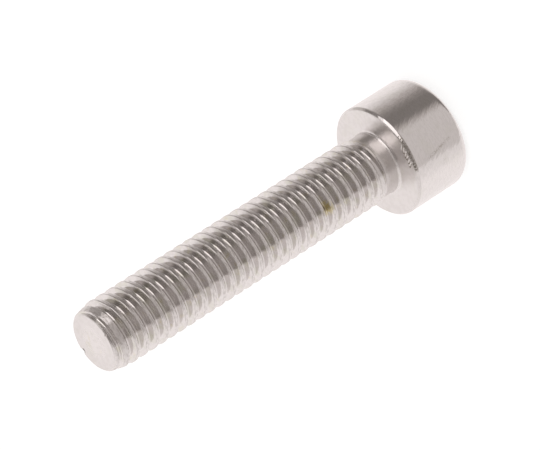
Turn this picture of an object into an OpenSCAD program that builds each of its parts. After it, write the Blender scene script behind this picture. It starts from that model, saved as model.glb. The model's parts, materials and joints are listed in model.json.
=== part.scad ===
// Hex socket cap screw, M6 x 30, fully threaded.
// It stands on its head: the socket opens downwards at z = 0 and the shank points up along +Z.
// The shank is drawn as the plain cylinder that the thread's crests touch.

/* [Head] */
// Diameter of the cylindrical head
head_d = 9.8; // [8:0.05:12]
// Height of the head, from its top face to its bearing face
head_h = 5.85; // [4.8:0.05:8]
// Radius that rounds the rim of the head's top face
rim_r = 0.85; // [0.1:0.05:1]
// Width and depth of the bevel around the bearing face
bearing_bevel = 0.2; // [0.05:0.05:0.4]

/* [Hex socket] */
// Width of the socket across its flats
socket_af = 5.08; // [3:0.02:6.1]
// Depth of the socket's flats
socket_depth = 3.1; // [2:0.05:3.8]
// Depth of the punched cone below the flats
socket_cone = 0.45; // [0.1:0.05:0.8]
// Width of the countersink beyond the socket's corners
mouth_lip = 0.12; // [0.02:0.01:0.3]

/* [Shank] */
// Length of the shank under the head
shank_len = 30.25; // [10:0.25:60]
// Major diameter of the thread
thread_d = 5.82; // [4.8:0.02:7]
// How far the smooth neck lies below the thread's crests
neck_inset = 0.21; // [0.05:0.01:0.4]
// Length of the smooth neck between the head and the thread
neck_len = 1.5; // [0.8:0.1:3]
// Radius of the fillet between the neck and the bearing face
fillet_r = 0.25; // [0.1:0.05:0.9]

/* [Tip] */
// How far the end face lies below the thread's crests
tip_inset = 0.49; // [0.2:0.01:0.9]
// Width of the 45 degree chamfer round the end face
tip_chamfer = 0.14; // [0.02:0.01:0.18]
// Length of the tip, from where the crests start to taper to the end face
tip_len = 1.6; // [0.3:0.1:2.5]
// Depth of the shallow dish in the end face
dish_depth = 0.08; // [0.02:0.01:0.2]
// Width of the flat rim around the dish
dish_rim = 0.35; // [0.1:0.05:1]

/* [Hidden] */
$fn = 96;
// Overlap that lets cuts pass through the faces they open
cut = 0.5;
head_r = head_d / 2;
thread_r = thread_d / 2;
neck_r = thread_r - neck_inset;
end_r = thread_r - tip_inset;
// Heights above the head's top face
thread_z = head_h + neck_len;
tip_z = head_h + shank_len;
taper_z = tip_z - tip_len;
// Radius of a regular hexagon's corners
socket_corner_r = socket_af / 2 / cos(30);
mouth_r = socket_corner_r + mouth_lip;
// The countersink has a 90 degree mouth that ends at the middle of the flats
mouth_depth = mouth_r - socket_af / 2;
// A dish of this radius falls by dish_depth across its own half width
dish_r = end_r - dish_rim;
dish_ball_r = (pow(dish_r, 2) + pow(dish_depth, 2)) / (2 * dish_depth);

// The corner that a quarter round of radius r leaves open, with its point at the origin
module corner(r) {
    difference() {
        square(r);
        translate([r, r]) circle(r);
    }
}

module head_section() {
    difference() {
        square([head_r, head_h]);
        // Rounded rim of the top face
        translate([head_r, 0]) mirror([1, 0]) corner(rim_r);
        // Bevel of the bearing face
        polygon([
            [head_r - bearing_bevel, head_h],
            [head_r, head_h - bearing_bevel],
            [head_r, head_h]
        ]);
    }
}

module neck_section() {
    translate([0, head_h - cut]) square([neck_r, neck_len + cut]);
    translate([neck_r, head_h]) corner(fillet_r);
}

module thread_section() {
    // The shoulder at the neck rises at 45 degrees
    polygon([
        [0, thread_z - neck_inset],
        [neck_r, thread_z - neck_inset],
        [thread_r, thread_z],
        [thread_r, taper_z],
        [end_r + tip_chamfer, tip_z - tip_chamfer],
        [end_r, tip_z],
        [0, tip_z]
    ]);
}

module end_dish() {
    translate([0, 0, tip_z - dish_depth + dish_ball_r]) sphere(dish_ball_r);
}

module hex_socket() {
    translate([0, 0, -cut]) cylinder(h = socket_depth + cut, r = socket_corner_r, $fn = 6);
    translate([0, 0, socket_depth]) cylinder(h = socket_cone, r1 = socket_af / 2, r2 = 0);
    translate([0, 0, -cut]) cylinder(h = mouth_depth + cut, r1 = mouth_r + cut, r2 = socket_af / 2);
}

module cap_screw() {
    color([0.78, 0.75, 0.74])
    difference() {
        rotate_extrude() {
            head_section();
            neck_section();
            thread_section();
        }
        hex_socket();
        end_dish();
    }
}

cap_screw();
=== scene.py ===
"""A stainless hex socket cap screw, M6 x 30, standing on its head on a plain pale floor."""
import json
import math
import random
from types import SimpleNamespace

import bpy
from mathutils import Matrix, Vector


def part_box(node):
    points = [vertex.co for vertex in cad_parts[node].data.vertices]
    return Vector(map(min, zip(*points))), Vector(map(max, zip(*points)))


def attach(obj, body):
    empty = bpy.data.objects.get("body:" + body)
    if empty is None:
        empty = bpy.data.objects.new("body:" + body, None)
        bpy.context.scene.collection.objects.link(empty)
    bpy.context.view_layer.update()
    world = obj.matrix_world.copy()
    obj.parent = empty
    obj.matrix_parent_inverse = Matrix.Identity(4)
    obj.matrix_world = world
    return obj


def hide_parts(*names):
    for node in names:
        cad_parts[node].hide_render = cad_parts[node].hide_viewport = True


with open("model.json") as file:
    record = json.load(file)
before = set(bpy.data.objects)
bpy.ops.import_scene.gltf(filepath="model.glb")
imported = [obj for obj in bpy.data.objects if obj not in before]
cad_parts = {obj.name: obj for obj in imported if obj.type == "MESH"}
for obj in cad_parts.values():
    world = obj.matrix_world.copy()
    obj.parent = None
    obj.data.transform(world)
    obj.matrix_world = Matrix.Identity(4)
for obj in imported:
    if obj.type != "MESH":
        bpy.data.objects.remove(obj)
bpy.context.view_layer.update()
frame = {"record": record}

# The screw's sizes are in millimetres. It is modelled in them and brought to metres at the end.
MM = 0.001
MOUNTS = {mount["name"]: mount for mount in frame["record"]["mounts"]}
SCREW_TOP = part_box("cap_screw")[1].z / MM
HEAD_R = MOUNTS["head_side"]["dims"]["r_mm"]
HEAD_H = MOUNTS["bearing_face"]["pos_m"][2] / MM
CREST_R = MOUNTS["shank"]["dims"]["r_mm"]

RIM_R = 0.85
RIM_ARC_STEPS = 12
BEARING_BEVEL = 0.2
BEVEL_ROUND = 0.12
EDGE_ARC_STEPS = 3
SOCKET_AF = 5.08
SOCKET_DEPTH = 3.1
SOCKET_CONE = 0.45
MOUTH_LIP = 0.12

PITCH = 1.0
CREST_HALF = 0.137
CREST_ROUND = 0.06
ROOT_ROUND = 0.12
ROOT_ARC_STEPS = 7
# Angles of the flanks from a plane across the axis
TIP_FLANK = math.radians(31.4)
HEAD_FLANK = math.radians(33)
# Depth of one crest's middle below the tip face, on the +X side
FIRST_CREST = 0.594

NECK_R = 2.7
NECK_LEN = 1.5
# The thread's crests fade out on a cone this far above the neck's end, and this long each way
RUN_OUT_RISE = 0.07
RUN_OUT = 0.54
ROOT_FADE = 0.6
RIPPLES = 4
RIPPLE_STEPS = 8
RIPPLE_DEPTH = 0.012
FILLET_R = 0.25
FILLET_ARC_STEPS = 10
TIP_INSET = 0.49
TIP_CHAMFER = 0.17
TIP_LEN = 1.6
DISH_DEPTH = 0.08
DISH_RIM = 0.35
DISH_ARC_STEPS = 12
TIP_EDGE = 0.05

# Dents in the head's edge: how deep, how far apart, how thick the bar that cuts them and how uneven
DENT_DEPTH = (0.05, 0.09)
DENT_SPACING = (0.22, 0.28)
DENT_BAR_R = 0.11
DENT_LEAN = 2
DENT_REACH = (0.8, 1.1)

# Steps round the axis, and the distance of the points that keep a straight stretch flat
STEPS = 96
HEAD_STEPS = 192
THREAD_HOLD = 0.02
HEAD_HOLD = 0.03
# Points closer than this are one, while the parts are made and once they are joined
MERGE = 0.0005
LAST_MERGE = 0.00002
# Edges flatter than this look smooth
SMOOTH_ANGLE = math.radians(24)


# ---------------------------------------------------------------- modelling helpers

def deselect():
    """Nothing stays selected, the loaded nodes included."""
    bpy.ops.object.select_all(action="DESELECT")


def edit(piece):
    deselect()
    piece.select_set(True)
    bpy.context.view_layer.objects.active = piece
    bpy.ops.object.mode_set(mode="EDIT")
    bpy.ops.mesh.select_all(action="SELECT")


def leave_edit():
    bpy.ops.object.mode_set(mode="OBJECT")


def apply_place(piece):
    """Moves the piece's place, turn and size into its mesh."""
    deselect()
    piece.select_set(True)
    bpy.context.view_layer.objects.active = piece
    bpy.ops.object.transform_apply(location=True, rotation=True, scale=True)


def apply_modifier(piece, kind, **settings):
    """Adds a modifier with these settings and applies it."""
    deselect()
    piece.select_set(True)
    bpy.context.view_layer.objects.active = piece
    modifier = piece.modifiers.new(kind.title(), kind)
    for name, value in settings.items():
        setattr(modifier, name, value)
    bpy.ops.object.modifier_apply(modifier=modifier.name)


def combine(piece, tool, operation):
    """Joins the tool to the piece, cuts it out, or keeps what both share, and drops the tool."""
    apply_modifier(piece, "BOOLEAN", operation=operation, object=tool, solver="EXACT")
    bpy.data.objects.remove(tool)


def arc(centre, radius, start, end, count):
    """Points (r, z) on an arc, from the angle start to the angle end in degrees."""
    points = []
    for i in range(count + 1):
        angle = math.radians(start + (end - start) * i / count)
        points.append((centre[0] + radius * math.cos(angle), centre[1] + radius * math.sin(angle)))
    return points


def outline(name, points):
    """A wire in the XZ plane, drawn by extruding one vertex from point to point."""
    bpy.ops.mesh.primitive_plane_add(size=PITCH, location=(points[0][0], 0, points[0][1]))
    piece = bpy.context.active_object
    piece.name = name
    apply_place(piece)
    edit(piece)
    bpy.ops.mesh.merge(type="CENTER")
    for last, point in zip(points, points[1:]):
        step = (point[0] - last[0], 0, point[1] - last[1])
        bpy.ops.mesh.extrude_vertices_move(TRANSFORM_OT_translate={"value": step})
    leave_edit()
    return piece


def clean(piece, reach=MERGE):
    """Merges doubles that lie within reach and turns the faces outwards."""
    edit(piece)
    bpy.ops.mesh.remove_doubles(threshold=reach)
    bpy.ops.mesh.normals_make_consistent(inside=False)
    leave_edit()


def turned(name, points, steps=STEPS):
    """A closed solid turned from an outline that starts and ends on the axis."""
    piece = outline(name, points)
    edit(piece)
    bpy.ops.mesh.spin(steps=steps, angle=math.tau, center=(0, 0, 0), axis=(0, 0, 1))
    leave_edit()
    clean(piece)
    return piece


# ---------------------------------------------------------------- the screw

def on_side(turn, radius, z):
    """A point on the screw, turned so many degrees from the -Y side towards -X."""
    angle = math.radians(turn)
    return (-radius * math.sin(angle), -radius * math.cos(angle), z)


def rounded(points, radii, counts):
    """An outline with each inner corner rounded to its radius, by arcs of so many steps."""
    result = [points[0]]
    for before, corner, after, radius, count in zip(points, points[1:], points[2:], radii, counts):
        corner = Vector(corner)
        back = (Vector(before) - corner).normalized()
        ahead = (Vector(after) - corner).normalized()
        half = back.angle(ahead) / 2
        reach = radius / math.tan(half)
        centre = corner + (back + ahead).normalized() * radius / math.sin(half)
        start = corner + back * reach - centre
        end = corner + ahead * reach - centre
        first = math.atan2(start.y, start.x)
        sweep = math.remainder(math.atan2(end.y, end.x) - first, math.tau)
        for i in range(count + 1):
            angle = first + sweep * i / count
            result.append((centre.x + radius * math.cos(angle), centre.y + radius * math.sin(angle)))
    result.append(points[-1])
    return result


def held(points, margin):
    """The outline with a point near each end of its long straight stretches, which keeps them flat."""
    shortest = 4 * margin
    result = [points[0]]
    for start, end in zip(points, points[1:]):
        start = Vector(start)
        end = Vector(end)
        along = end - start
        if along.length > shortest:
            step = along.normalized() * margin
            result += [tuple(start + step), tuple(end - step)]
        result.append(tuple(end))
    return result


def thread_outline():
    """One pitch of the thread, from the middle of one crest over the root to the next crest."""
    depth = (PITCH - 2 * CREST_HALF) / (math.tan(TIP_FLANK) + math.tan(HEAD_FLANK))
    root = (CREST_R - depth, CREST_HALF + depth * math.tan(TIP_FLANK))
    points = [(CREST_R, 0), (CREST_R, CREST_HALF), root, (CREST_R, PITCH - CREST_HALF), (CREST_R, PITCH)]
    steps = [EDGE_ARC_STEPS, ROOT_ARC_STEPS, EDGE_ARC_STEPS]
    return held(rounded(points, [CREST_ROUND, ROOT_ROUND, CREST_ROUND], steps), THREAD_HOLD)


def thread_rod():
    """The helical surface of the thread, longer than the screw and closed flat at both ends."""
    above_tip = 2
    below_head = 1
    turns = math.ceil((SCREW_TOP - HEAD_H) / PITCH) + above_tip + below_head
    lift = SCREW_TOP - FIRST_CREST - (turns - above_tip) * PITCH
    piece = outline("thread_rod", [(r, z + lift) for r, z in thread_outline()])
    apply_modifier(piece, "SCREW", axis="Z", angle=math.tau, steps=STEPS, render_steps=STEPS,
                   screw_offset=PITCH, iterations=turns, use_smooth_shade=True)
    clean(piece)
    edit(piece)
    low_end = HEAD_H - PITCH / 2
    high_end = SCREW_TOP + PITCH / 4
    bpy.ops.mesh.bisect(plane_co=(0, 0, low_end), plane_no=(0, 0, 1), use_fill=True, clear_inner=True)
    bpy.ops.mesh.select_all(action="SELECT")
    bpy.ops.mesh.bisect(plane_co=(0, 0, high_end), plane_no=(0, 0, 1), use_fill=True, clear_outer=True)
    leave_edit()
    clean(piece)
    return piece


def rippled(start, end, waves, depth):
    """Points from start to end along a line with so many shallow waves, as rolling leaves them."""
    start = Vector(start)
    along = Vector(end) - start
    out = Vector((-along.y, along.x)).normalized()
    steps = waves * RIPPLE_STEPS
    points = []
    for i in range(steps + 1):
        share = i / steps
        points.append(tuple(start + along * share + out * depth * math.sin(math.tau * waves * share)))
    return points


def crest_envelope():
    """What the crests stay inside: the tapered tip, and the run-out at the neck."""
    spare = 0.04
    below_neck = 0.12
    slope = (TIP_INSET - TIP_CHAMFER) / (TIP_LEN - TIP_CHAMFER)
    wide = CREST_R + spare
    middle = HEAD_H + NECK_LEN + RUN_OUT_RISE
    inner = NECK_R - below_neck
    face_r = CREST_R - TIP_INSET
    tip = [(wide, SCREW_TOP - TIP_LEN - spare / slope), (face_r + TIP_CHAMFER, SCREW_TOP - TIP_CHAMFER),
           (face_r, SCREW_TOP), (0, SCREW_TOP)]
    tip = rounded(tip, [TIP_EDGE, TIP_EDGE], [EDGE_ARC_STEPS, EDGE_ARC_STEPS])
    run_out = rippled((inner, middle - RUN_OUT), (wide, middle + RUN_OUT), RIPPLES, RIPPLE_DEPTH)
    ends = held([run_out[-1]] + tip, THREAD_HOLD)
    return turned("crest_envelope", [(0, HEAD_H - PITCH), (inner, HEAD_H - PITCH)] + run_out + ends[1:])


def head_and_neck():
    """Head, bearing face, fillet and neck, with a cone that fades under the first turn."""
    thread_start = HEAD_H + NECK_LEN
    corners = [(0, 0), (HEAD_R, 0), (HEAD_R, HEAD_H - BEARING_BEVEL), (HEAD_R - BEARING_BEVEL, HEAD_H),
               (NECK_R, HEAD_H), (NECK_R, thread_start)]
    steps = [RIM_ARC_STEPS, EDGE_ARC_STEPS, EDGE_ARC_STEPS, FILLET_ARC_STEPS]
    outline_points = rounded(corners, [RIM_R, BEVEL_ROUND, BEVEL_ROUND, FILLET_R], steps)
    outline_points += [(NECK_R - ROOT_FADE * PITCH, thread_start + PITCH), (0, thread_start + PITCH)]
    return turned("head_and_neck", held(outline_points, HEAD_HOLD), steps=HEAD_STEPS)


def hex_socket():
    """The space of the socket: flats, the punched cone below them and the countersunk mouth."""
    past_face = 0.5
    play = 0.01
    half_corner = math.radians(30)
    flat_r = SOCKET_AF / 2
    corner_r = flat_r / math.cos(half_corner)
    depth = SOCKET_DEPTH + past_face
    middle = depth / 2 - past_face
    bpy.ops.mesh.primitive_cylinder_add(vertices=6, radius=corner_r, depth=depth,
                                        location=(0, 0, middle), rotation=(0, 0, half_corner))
    piece = bpy.context.active_object
    piece.name = "hex_socket"
    apply_place(piece)
    cone_start = SOCKET_DEPTH - past_face
    cone = turned("socket_cone", [(0, cone_start), (flat_r - play, cone_start),
                                  (flat_r - play, SOCKET_DEPTH), (0, SOCKET_DEPTH + SOCKET_CONE)])
    combine(piece, cone, "UNION")
    mouth_r = corner_r + MOUTH_LIP
    mouth_depth = mouth_r - flat_r
    mouth = turned("socket_mouth", [(0, -past_face), (mouth_r + past_face, -past_face),
                                    (flat_r, mouth_depth), (0, mouth_depth)])
    combine(piece, mouth, "UNION")
    return piece


def end_dish():
    """The slice of a ball that leaves the shallow dish in the tip face."""
    dish_r = CREST_R - TIP_INSET - DISH_RIM
    ball_r = (dish_r ** 2 + DISH_DEPTH ** 2) / (2 * DISH_DEPTH)
    centre = (0, SCREW_TOP - DISH_DEPTH + ball_r)
    past_rim = 1.5
    reach = math.degrees(math.asin(dish_r / ball_r)) * past_rim
    bowl = arc(centre, ball_r, -90, -90 + reach, DISH_ARC_STEPS)
    return turned("end_dish", bowl + [(0, bowl[-1][1])])


def groove(name, place, out, along, size, depth, length):
    """A six-sided bar that cuts a blunt groove of this depth at a place, whose surface faces out."""
    sideways = out.cross(along).normalized()
    turn = Matrix((sideways, -out, along)).transposed()
    bpy.ops.mesh.primitive_cylinder_add(vertices=6, radius=size, depth=length,
                                        location=place + out * (size - depth), rotation=turn.to_euler())
    piece = bpy.context.active_object
    piece.name = name
    apply_place(piece)
    return piece


def joined(bars):
    """The bars as one piece."""
    deselect()
    for bar in bars:
        bar.select_set(True)
    bpy.context.view_layer.objects.active = bars[0]
    bpy.ops.object.join()
    return bars[0]


def slanted_groove(turn, radius, height, tilt, slant, size, depth, length):
    """A bar for a groove over an edge, whose floor faces tilt degrees above the horizon.

    The groove's way over the edge slants by so many degrees.
    """
    side = Vector(on_side(turn, 1, 0))
    up = Vector((0, 0, 1))
    rise = math.radians(tilt)
    out = side * math.cos(rise) + up * math.sin(rise)
    across = up * math.cos(rise) - side * math.sin(rise)
    angle = math.radians(slant)
    along = across * math.cos(angle) + out.cross(across) * math.sin(angle)
    return groove("dent", Vector(on_side(turn, radius, height)), out, along, size, depth, length)


def edge_dents(draw, first, last, inset, tilt, slant, length):
    """A row of slanted dents round the bearing face's edge, from the angle first to the angle last."""
    radius = HEAD_R - inset
    z = HEAD_H - max(0, BEARING_BEVEL - inset)
    bars = []
    turn = first
    while turn < last:
        depth = draw.uniform(*DENT_DEPTH)
        lean = slant + draw.uniform(-DENT_LEAN, DENT_LEAN)
        reach = length * draw.uniform(*DENT_REACH)
        bars.append(slanted_groove(turn, radius, z, tilt, lean, DENT_BAR_R, depth, reach))
        spacing = draw.uniform(*DENT_SPACING) / math.cos(math.radians(slant))
        turn += math.degrees(spacing / radius)
    return joined(bars)


def tip_nicks():
    """Two nicks in the edge of the tip face, one on the far side and a small one in front."""
    radius = CREST_R - TIP_INSET
    far = slanted_groove(178, radius, SCREW_TOP, tilt=45, slant=20, size=0.3, depth=0.24, length=0.9)
    near = slanted_groove(-1, radius, SCREW_TOP, tilt=45, slant=60, size=0.12, depth=0.06, length=0.4)
    return joined([far, near])


def dented_head():
    """The head and neck with two rows of dents: on the bevel, and on the bearing face beside it."""
    head = head_and_neck()
    draw = random.Random(5)
    on_bevel = edge_dents(draw, first=-9, last=30, inset=BEARING_BEVEL / 2, tilt=45, slant=20, length=0.45)
    combine(head, on_bevel, "DIFFERENCE")
    on_face = edge_dents(draw, first=1, last=26, inset=0.5, tilt=86, slant=42, length=0.7)
    combine(head, on_face, "DIFFERENCE")
    return head


def cap_screw():
    """The whole screw in metres, as one closed mesh."""
    piece = thread_rod()
    combine(piece, crest_envelope(), "INTERSECT")
    combine(piece, dented_head(), "UNION")
    combine(piece, hex_socket(), "DIFFERENCE")
    combine(piece, end_dish(), "DIFFERENCE")
    combine(piece, tip_nicks(), "DIFFERENCE")
    clean(piece, LAST_MERGE)
    piece.name = "cap_screw_body"
    piece.data.name = "cap_screw_body"
    deselect()
    piece.select_set(True)
    bpy.context.view_layer.objects.active = piece
    bpy.ops.transform.resize(value=(MM, MM, MM), center_override=(0, 0, 0))
    apply_place(piece)
    bpy.ops.object.shade_smooth_by_angle(angle=SMOOTH_ANGLE)
    return piece


# ---------------------------------------------------------------- materials

class Tree:
    """Adds nodes to a material or world, with their inputs given in one line."""

    def __init__(self, owner):
        owner.use_nodes = True
        self.nodes = owner.node_tree.nodes
        self.links = owner.node_tree.links

    def add(self, kind, *inputs, **settings):
        node = self.nodes.new("ShaderNode" + kind)
        for name, value in settings.items():
            setattr(node, name, value)
        for i, value in enumerate(inputs):
            self.put(value, node.inputs[i])
        return node.outputs[0]

    def put(self, value, socket):
        if isinstance(value, bpy.types.NodeSocket):
            self.links.new(value, socket)
        elif value is not None:
            socket.default_value = value

    def math(self, operation, *inputs):
        return self.add("Math", *inputs, operation=operation)

    def ramp(self, value, low, high):
        """0 below low, 1 above high and a smooth rise between them."""
        return self.add("MapRange", value, low, high, 0.0, 1.0, interpolation_type="SMOOTHSTEP")

    def band(self, value, low, high):
        """1 between two edges, each an angle or place with the softness on either side of it."""
        rise = self.ramp(value, low[0] - low[1], low[0] + low[1])
        fall = self.ramp(value, high[0] - high[1], high[0] + high[1])
        return self.math("MULTIPLY", rise, self.math("SUBTRACT", 1.0, fall))

    def lerp(self, factor, low, high):
        """low where the factor is 0 and high where it is 1, for numbers."""
        return self.add("MapRange", factor, 0.0, 1.0, low, high)

    def noise(self, place, scale, detail):
        """Cloudy noise from 0 to 1, with its patches 1 / scale wide."""
        return self.add("TexNoise", place, None, scale, detail)

    def stretch(self, place, scale):
        return self.add("Mapping", place, None, None, scale)

    def blend(self, factor, low, high):
        """The colour low where the factor is 0 and high where it is 1."""
        node = self.nodes.new("ShaderNodeMix")
        node.data_type = "RGBA"
        self.put(factor, node.inputs[0])
        self.put(low, node.inputs[6])
        self.put(high, node.inputs[7])
        return node.outputs[2]

    def scratch(self, place, start, end, width):
        """1 on the line from start to end, and 0 away from it."""
        start = Vector(start)
        way = (Vector(end) - start).normalized()
        length = (Vector(end) - start).length
        offset = self.add("VectorMath", place, start, operation="SUBTRACT")
        along = self.add("VectorMath", offset, way, operation="DOT_PRODUCT").node.outputs["Value"]
        aside = self.add("VectorMath", offset, way, operation="CROSS_PRODUCT")
        away = self.add("VectorMath", aside, operation="LENGTH").node.outputs["Value"]
        near = self.math("SUBTRACT", 1.0, self.ramp(away, 0.0, width))
        return self.math("MULTIPLY", near, self.band(along, (0.0, width), (length, width)))

    def spot(self, place, centre, radius, edge):
        """1 inside a ball round the centre, and 0 outside it."""
        away = self.add("VectorMath", place, centre, operation="DISTANCE").node.outputs["Value"]
        return self.math("SUBTRACT", 1.0, self.ramp(away, radius - edge, radius + edge))


STEEL = (0.78, 0.757, 0.748, 1)
STEEL_DULL = (0.624, 0.599, 0.58, 1)
STEEL_OLIVE = (0.705, 0.702, 0.635, 1)
# Colour for grime, also used as painted shade over the dented stretch of the bevel
GRIME_AND_DENT_SHADE = (0.35, 0.325, 0.285, 1)
STAIN_YELLOW = (0.71, 0.65, 0.45, 1)
STAIN_BROWN = (0.3, 0.25, 0.17, 1)

# How rough each finish is, and how far the speckle moves it either way
FLANK_ROUGH = 0.12
CREST_ROUGH = 0.22
BATTERED_ROUGH = 0.33
END_FACE_ROUGH = 0.34
NECK_ROUGH = 0.235
BEARING_ROUGH = 0.3
ROUGH_SPREAD = 0.05
# The bump's depth, and how much deeper the polishing marks are than the grain
BUMP_DEPTH = 0.003 * MM
POLISH_BUMP = 6.0


def finish_zones(tree, place):
    """Where each finish lies, as values from 0 to 1, with the place in three other measures."""
    zones = SimpleNamespace()
    split = tree.add("SeparateXYZ", place).node.outputs
    flat = tree.stretch(place, (1, 1, 0))
    zones.z = split["Z"]
    zones.radius = tree.add("VectorMath", flat, operation="LENGTH").node.outputs["Value"]
    zones.turn = tree.math("DEGREES", tree.math("ARCTAN2", tree.math("MULTIPLY", split["X"], -1.0),
                                                tree.math("MULTIPLY", split["Y"], -1.0)))

    zones.threaded = tree.ramp(zones.z, HEAD_H + 1.0, HEAD_H + 1.6)
    slope = (TIP_INSET - TIP_CHAMFER) / (TIP_LEN - TIP_CHAMFER)
    taper = tree.math("MULTIPLY_ADD", zones.z, -slope, CREST_R + (SCREW_TOP - TIP_LEN) * slope)
    above_skin = tree.math("SUBTRACT", zones.radius, tree.math("MINIMUM", taper, CREST_R))
    zones.crest = tree.math("MULTIPLY", tree.ramp(above_skin, -0.06, -0.015), zones.threaded)
    zones.near_tip = tree.ramp(zones.z, SCREW_TOP - 1.8, SCREW_TOP - 1.2)
    zones.end_face = tree.ramp(zones.z, SCREW_TOP - 0.1, SCREW_TOP - 0.02)
    zones.bearing = tree.band(zones.z, (HEAD_H - 0.04, 0.02), (HEAD_H + 0.04, 0.02))
    zones.neck = tree.band(zones.z, (HEAD_H - 0.12, 0.1), (HEAD_H + 1.7, 0.3))
    proud = tree.math("MAXIMUM", zones.crest, zones.end_face)
    zones.flanks = tree.math("MULTIPLY", zones.threaded, tree.math("SUBTRACT", 1.0, proud))
    return zones


def finish_noises(tree, place):
    """The grain, clouds and lines that vary the steel."""
    noises = SimpleNamespace()
    noises.grain = tree.noise(place, 9.0, 3.0)
    noises.cloud = tree.noise(place, 0.9, 2.0)
    noises.speckle = tree.noise(tree.stretch(place, (2.5, 2.5, 9.0)), 1.0, 3.0)
    noises.lines = tree.noise(tree.stretch(place, (0.7, 0.7, 14.0)), 1.0, 2.0)
    slanted = tree.add("Mapping", place, None, (0, math.radians(40), 0))
    noises.polish = tree.noise(tree.stretch(slanted, (3.0, 3.0, 0.5)), 1.0, 2.0)
    return noises


def steel_roughness(tree, zones, noises):
    """Smooth flanks, duller crests, and a rougher tip, neck and bearing face."""
    rough = tree.lerp(zones.crest, FLANK_ROUGH, CREST_ROUGH)
    rough = tree.lerp(tree.math("MULTIPLY", zones.crest, zones.near_tip), rough, BATTERED_ROUGH)
    rough = tree.lerp(zones.end_face, rough, END_FACE_ROUGH)
    rough = tree.lerp(zones.neck, rough, NECK_ROUGH)
    rough = tree.lerp(zones.bearing, rough, BEARING_ROUGH)
    return tree.math("ADD", rough, tree.lerp(noises.speckle, -ROUGH_SPREAD, ROUGH_SPREAD))


def steel_tint(tree, zones, noises):
    """Bare steel, olive in the thread's clouded places and duller where the crests are worn."""
    cloudy = tree.ramp(noises.cloud, 0.48, 0.66)
    olive = tree.math("MULTIPLY", cloudy, tree.lerp(zones.flanks, 0.2, 0.65))
    speckled = tree.ramp(noises.speckle, 0.45, 0.6)
    worn = tree.math("MULTIPLY", speckled, tree.lerp(zones.crest, 0.2, 0.85))
    return tree.blend(worn, tree.blend(olive, STEEL, STEEL_OLIVE), STEEL_DULL)


def head_grime_and_dent_shade(tree, place, zones, noises):
    """Grime on the head: a faint mark and a scratch on its side, and painted shade with grime over the
    dented stretch of the bevel, which dims its glints.
    """
    patchy = tree.ramp(noises.grain, 0.4, 0.6)
    mark = tree.spot(place, on_side(36, HEAD_R, 2.7), 0.1, 0.45)
    scratch = tree.scratch(place, on_side(24, HEAD_R, 4.35), on_side(17, HEAD_R, 1.7), 0.22)
    faint = tree.math("MULTIPLY", tree.math("MAXIMUM", mark, scratch), 0.5)
    near_edge = tree.ramp(zones.radius, 4.0, 4.1)
    below_face = tree.band(zones.z, (HEAD_H - 0.24, 0.08), (HEAD_H - 0.02, 0.02))
    # Painted shade with grime: the dented stretch of the bevel is darkened, which dims its glints
    dented = tree.math("MULTIPLY", tree.band(zones.turn, (-9, 3), (29, 3)), near_edge)
    dented = tree.math("MULTIPLY", dented, below_face)
    grime_and_shade_in_dents = tree.math("MULTIPLY", dented, tree.lerp(patchy, 0.2, 1.0))
    return tree.math("MAXIMUM", tree.math("MULTIPLY", faint, patchy), grime_and_shade_in_dents)


def stained(tree, place, zones, tint):
    """The tint with one stain in the thread, yellow with brown streaks, and faint yellow patches."""
    blotch = tree.noise(place, 3.5, 3.0)
    yellow = tree.spot(place, on_side(21, 2.6, 13.62), 0.6, 0.25)
    yellow = tree.math("MULTIPLY", yellow, tree.ramp(blotch, 0.36, 0.5))
    patches = tree.math("MULTIPLY", tree.ramp(tree.noise(place, 1.7, 2.0), 0.6, 0.72), zones.flanks)
    yellow = tree.math("MAXIMUM", yellow, tree.math("MULTIPLY", patches, 0.3))
    long_streak = tree.scratch(place, on_side(1, 2.42, 13.52), on_side(17, 2.45, 13.27), 0.24)
    short_streak = tree.scratch(place, on_side(15, 2.4, 13.8), on_side(24, 2.42, 13.6), 0.2)
    brown = tree.math("MAXIMUM", long_streak, short_streak)
    return tree.blend(brown, tree.blend(yellow, tint, STAIN_YELLOW), STAIN_BROWN)


def steel_height(tree, place, zones, noises):
    """Fine grain and lines in the thread, dents in its last crests, and polishing marks elsewhere."""
    fine = tree.math("MULTIPLY_ADD", noises.grain, tree.lerp(zones.crest, 1.2, 1.4), noises.lines)
    pits = tree.noise(place, 3.5, 2.0)
    battered = tree.math("MULTIPLY", zones.near_tip, tree.lerp(zones.crest, 4.0, 12.0))
    battered = tree.math("MULTIPLY", battered, tree.math("SUBTRACT", 1.0, zones.end_face))
    fine = tree.math("MULTIPLY_ADD", pits, battered, fine)
    return tree.lerp(zones.threaded, tree.math("MULTIPLY", noises.polish, POLISH_BUMP), fine)


def stainless():
    """Polished stainless steel, with its finishes laid out in millimetres."""
    material = bpy.data.materials.new("stainless_steel")
    tree = Tree(material)
    shader = tree.nodes["Principled BSDF"]
    shader.inputs["Metallic"].default_value = 1
    metres = tree.nodes.new("ShaderNodeTexCoord").outputs["Object"]
    place = tree.stretch(metres, (1 / MM, 1 / MM, 1 / MM))
    zones = finish_zones(tree, place)
    noises = finish_noises(tree, place)

    tree.put(steel_roughness(tree, zones, noises), shader.inputs["Roughness"])
    tint = steel_tint(tree, zones, noises)
    # Grime on the head, and painted shade with grime in its dented stretch
    tint = tree.blend(head_grime_and_dent_shade(tree, place, zones, noises), tint, GRIME_AND_DENT_SHADE)
    tree.put(stained(tree, place, zones, tint), shader.inputs["Base Color"])

    bump = tree.nodes.new("ShaderNodeBump")
    bump.inputs["Strength"].default_value = 1
    bump.inputs["Distance"].default_value = BUMP_DEPTH
    tree.put(steel_height(tree, place, zones, noises), bump.inputs["Height"])
    tree.put(bump.outputs["Normal"], shader.inputs["Normal"])
    return material


def dress(piece, material):
    piece.data.materials.clear()
    piece.data.materials.append(material)


# ---------------------------------------------------------------- floor, light and camera

# Sizes here are in metres
FLOOR_SIZE = 2.4
FLOOR_COLOR = (0.7, 0.735, 0.745, 1)
FLOOR_GLOW = 0.62


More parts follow.
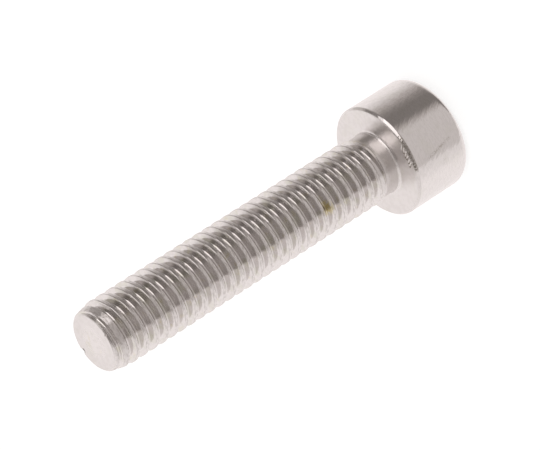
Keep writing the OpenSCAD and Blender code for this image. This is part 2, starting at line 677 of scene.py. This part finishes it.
def floor_material():
    material = bpy.data.materials.new("pale_floor")
    material.use_nodes = True
    nodes = material.node_tree.nodes
    links = material.node_tree.links
    nodes.remove(nodes["Principled BSDF"])
    diffuse = nodes.new("ShaderNodeBsdfDiffuse")
    diffuse.inputs["Color"].default_value = FLOOR_COLOR
    glow = nodes.new("ShaderNodeEmission")
    glow.inputs["Strength"].default_value = FLOOR_GLOW
    add = nodes.new("ShaderNodeAddShader")
    links.new(diffuse.outputs[0], add.inputs[0])
    links.new(glow.outputs[0], add.inputs[1])
    links.new(add.outputs[0], nodes["Material Output"].inputs["Surface"])
    return material


def floor():
    """A pale floor that takes the screw's shadow, and that the steel doesn't mirror."""
    bpy.ops.mesh.primitive_plane_add(size=FLOOR_SIZE)
    piece = bpy.context.active_object
    piece.name = "floor"
    dress(piece, floor_material())
    piece.visible_glossy = False


# The light tent that the steel mirrors. Each card has a left, right, lower and upper edge, then its
# brightness. An edge is an angle and the softness on each side of it, both in degrees. Left and right turn
# round the screw from the camera's side towards +X, and lower and upper rise from the horizon.
TENT_BRIGHTNESS = 1.0
TENT_WHITE = (1.026, 0.968, 0.957, 1)
TENT_SHADE = (1.026, 0.925, 0.876, 1)
CARDS = {
    "left_floor": ((-76, 20), (-55, 3), (-100, 5), (-25, 4), 0.84),
    "left_wall": ((-110, 40), (-52, 4), (-25, 4), (64, 6), 0.82),
    "open_front_floor": ((-55, 4), (60, 8), (-100, 5), (-25, 4), 0.66),
    "open_front": ((-52, 4), (40, 4), (-26, 4), (64, 4), 0.31),
    "open_front_low": ((-52, 4), (40, 4), (-9, 4), (12, 8), 0.54),
    "open_front_top": ((-52, 4), (40, 4), (22, 5), (44, 5), 0.55),
    "dark_side_floor": ((32, 12), (98, 38), (-100, 5), (-22, 4), 0.225),
    "dark_side": ((24, 5), (119, 18), (-22, 4), (62, 6), 0.205),
    "side_glow": ((84, 10), (135, 10), (-10, 6), (18, 6), 0.55),
    "key_spill": ((64, 5), (84, 4), (32, 5), (50, 5), 1.0),
    "roof_gap": ((-200, 1), (200, 1), (64, 5), (100, 1), 0.225),
}


def light_tent():
    """The world: the cards for what the steel mirrors, and plain white for what the camera sees."""
    world = bpy.data.worlds.new("light_tent")
    bpy.context.scene.world = world
    tree = Tree(world)
    direction = tree.nodes.new("ShaderNodeTexCoord").outputs["Generated"]
    split = tree.nodes.new("ShaderNodeSeparateXYZ")
    tree.put(direction, split.inputs[0])
    towards_camera = tree.math("MULTIPLY", split.outputs["Y"], -1.0)
    turn = tree.math("DEGREES", tree.math("ARCTAN2", split.outputs["X"], towards_camera))
    height = tree.math("DEGREES", tree.math("ARCSINE", split.outputs["Z"]))
    level = TENT_BRIGHTNESS
    for left, right, lower, upper, brightness in CARDS.values():
        across = tree.band(turn, left, right)
        up = tree.band(height, lower, upper)
        level = tree.lerp(tree.math("MULTIPLY", across, up), level, brightness)
    seen = tree.nodes.new("ShaderNodeLightPath").outputs["Is Camera Ray"]
    tree.put(tree.lerp(seen, level, 1.0), tree.nodes["Background"].inputs["Strength"])
    warm = tree.blend(tree.ramp(level, 0.2, 0.95), TENT_SHADE, TENT_WHITE)
    tree.put(tree.blend(seen, warm, (1, 1, 1, 1)), tree.nodes["Background"].inputs["Color"])


# The softbox: its place as seen from the screw's foot, and half its width and height from there
KEY_DISTANCE = 0.6
KEY_TURN = math.radians(45)
KEY_HEIGHT = math.radians(27)
KEY_HALF_WIDTH = math.radians(19)
KEY_HALF_HEIGHT = math.radians(35)
KEY_BRIGHTNESS = 1.1


def key_light():
    """A tall softbox in front and to the right."""
    place = Vector((math.sin(KEY_TURN) * math.cos(KEY_HEIGHT), -math.cos(KEY_TURN) * math.cos(KEY_HEIGHT),
                    math.sin(KEY_HEIGHT)))
    bpy.ops.object.light_add(type="AREA", location=place * KEY_DISTANCE)
    lamp = bpy.context.active_object
    lamp.name = "key_light"
    lamp.rotation_euler = place.to_track_quat("Z", "Y").to_euler()
    lamp.data.shape = "RECTANGLE"
    lamp.data.size = 2 * KEY_DISTANCE * math.tan(KEY_HALF_WIDTH)
    lamp.data.size_y = 2 * KEY_DISTANCE * math.tan(KEY_HALF_HEIGHT)
    lamp.data.color = TENT_WHITE[:3]
    lamp.data.energy = KEY_BRIGHTNESS * math.pi * lamp.data.size * lamp.data.size_y


# The camera looks down at the screw from the -Y side, and is rolled so that the screw lies slanted.
# Its aim is a point inside the screw, in millimetres as the screw's sizes are.
CAMERA_ELEVATION = math.radians(29.66)
CAMERA_ROLL = math.radians(-122.5)
CAMERA_AIM = (0.364, -0.282, 17.555)
CAMERA_DISTANCE = 0.2619
CAMERA_LENS = 220.1


def camera():
    """A long lens from in front, above the screw."""
    bpy.ops.object.camera_add()
    piece = bpy.context.active_object
    piece.name = "camera"
    tilt = Matrix.Rotation(math.radians(90) - CAMERA_ELEVATION, 4, "X")
    turn = tilt @ Matrix.Rotation(CAMERA_ROLL, 4, "Z")
    aim = Vector(CAMERA_AIM) * MM
    back = turn.to_3x3() @ Vector((0, 0, 1))
    piece.matrix_world = Matrix.Translation(aim + back * CAMERA_DISTANCE) @ turn
    piece.data.lens = CAMERA_LENS
    piece.data.clip_start = 0.01
    piece.data.clip_end = 5
    bpy.context.scene.camera = piece


# ---------------------------------------------------------------- the scene

camera()
body = cap_screw()
dress(body, stainless())
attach(body, "root")
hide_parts("cap_screw")
floor()
light_tent()
key_light()
bpy.context.scene.view_settings.view_transform = "Standard"
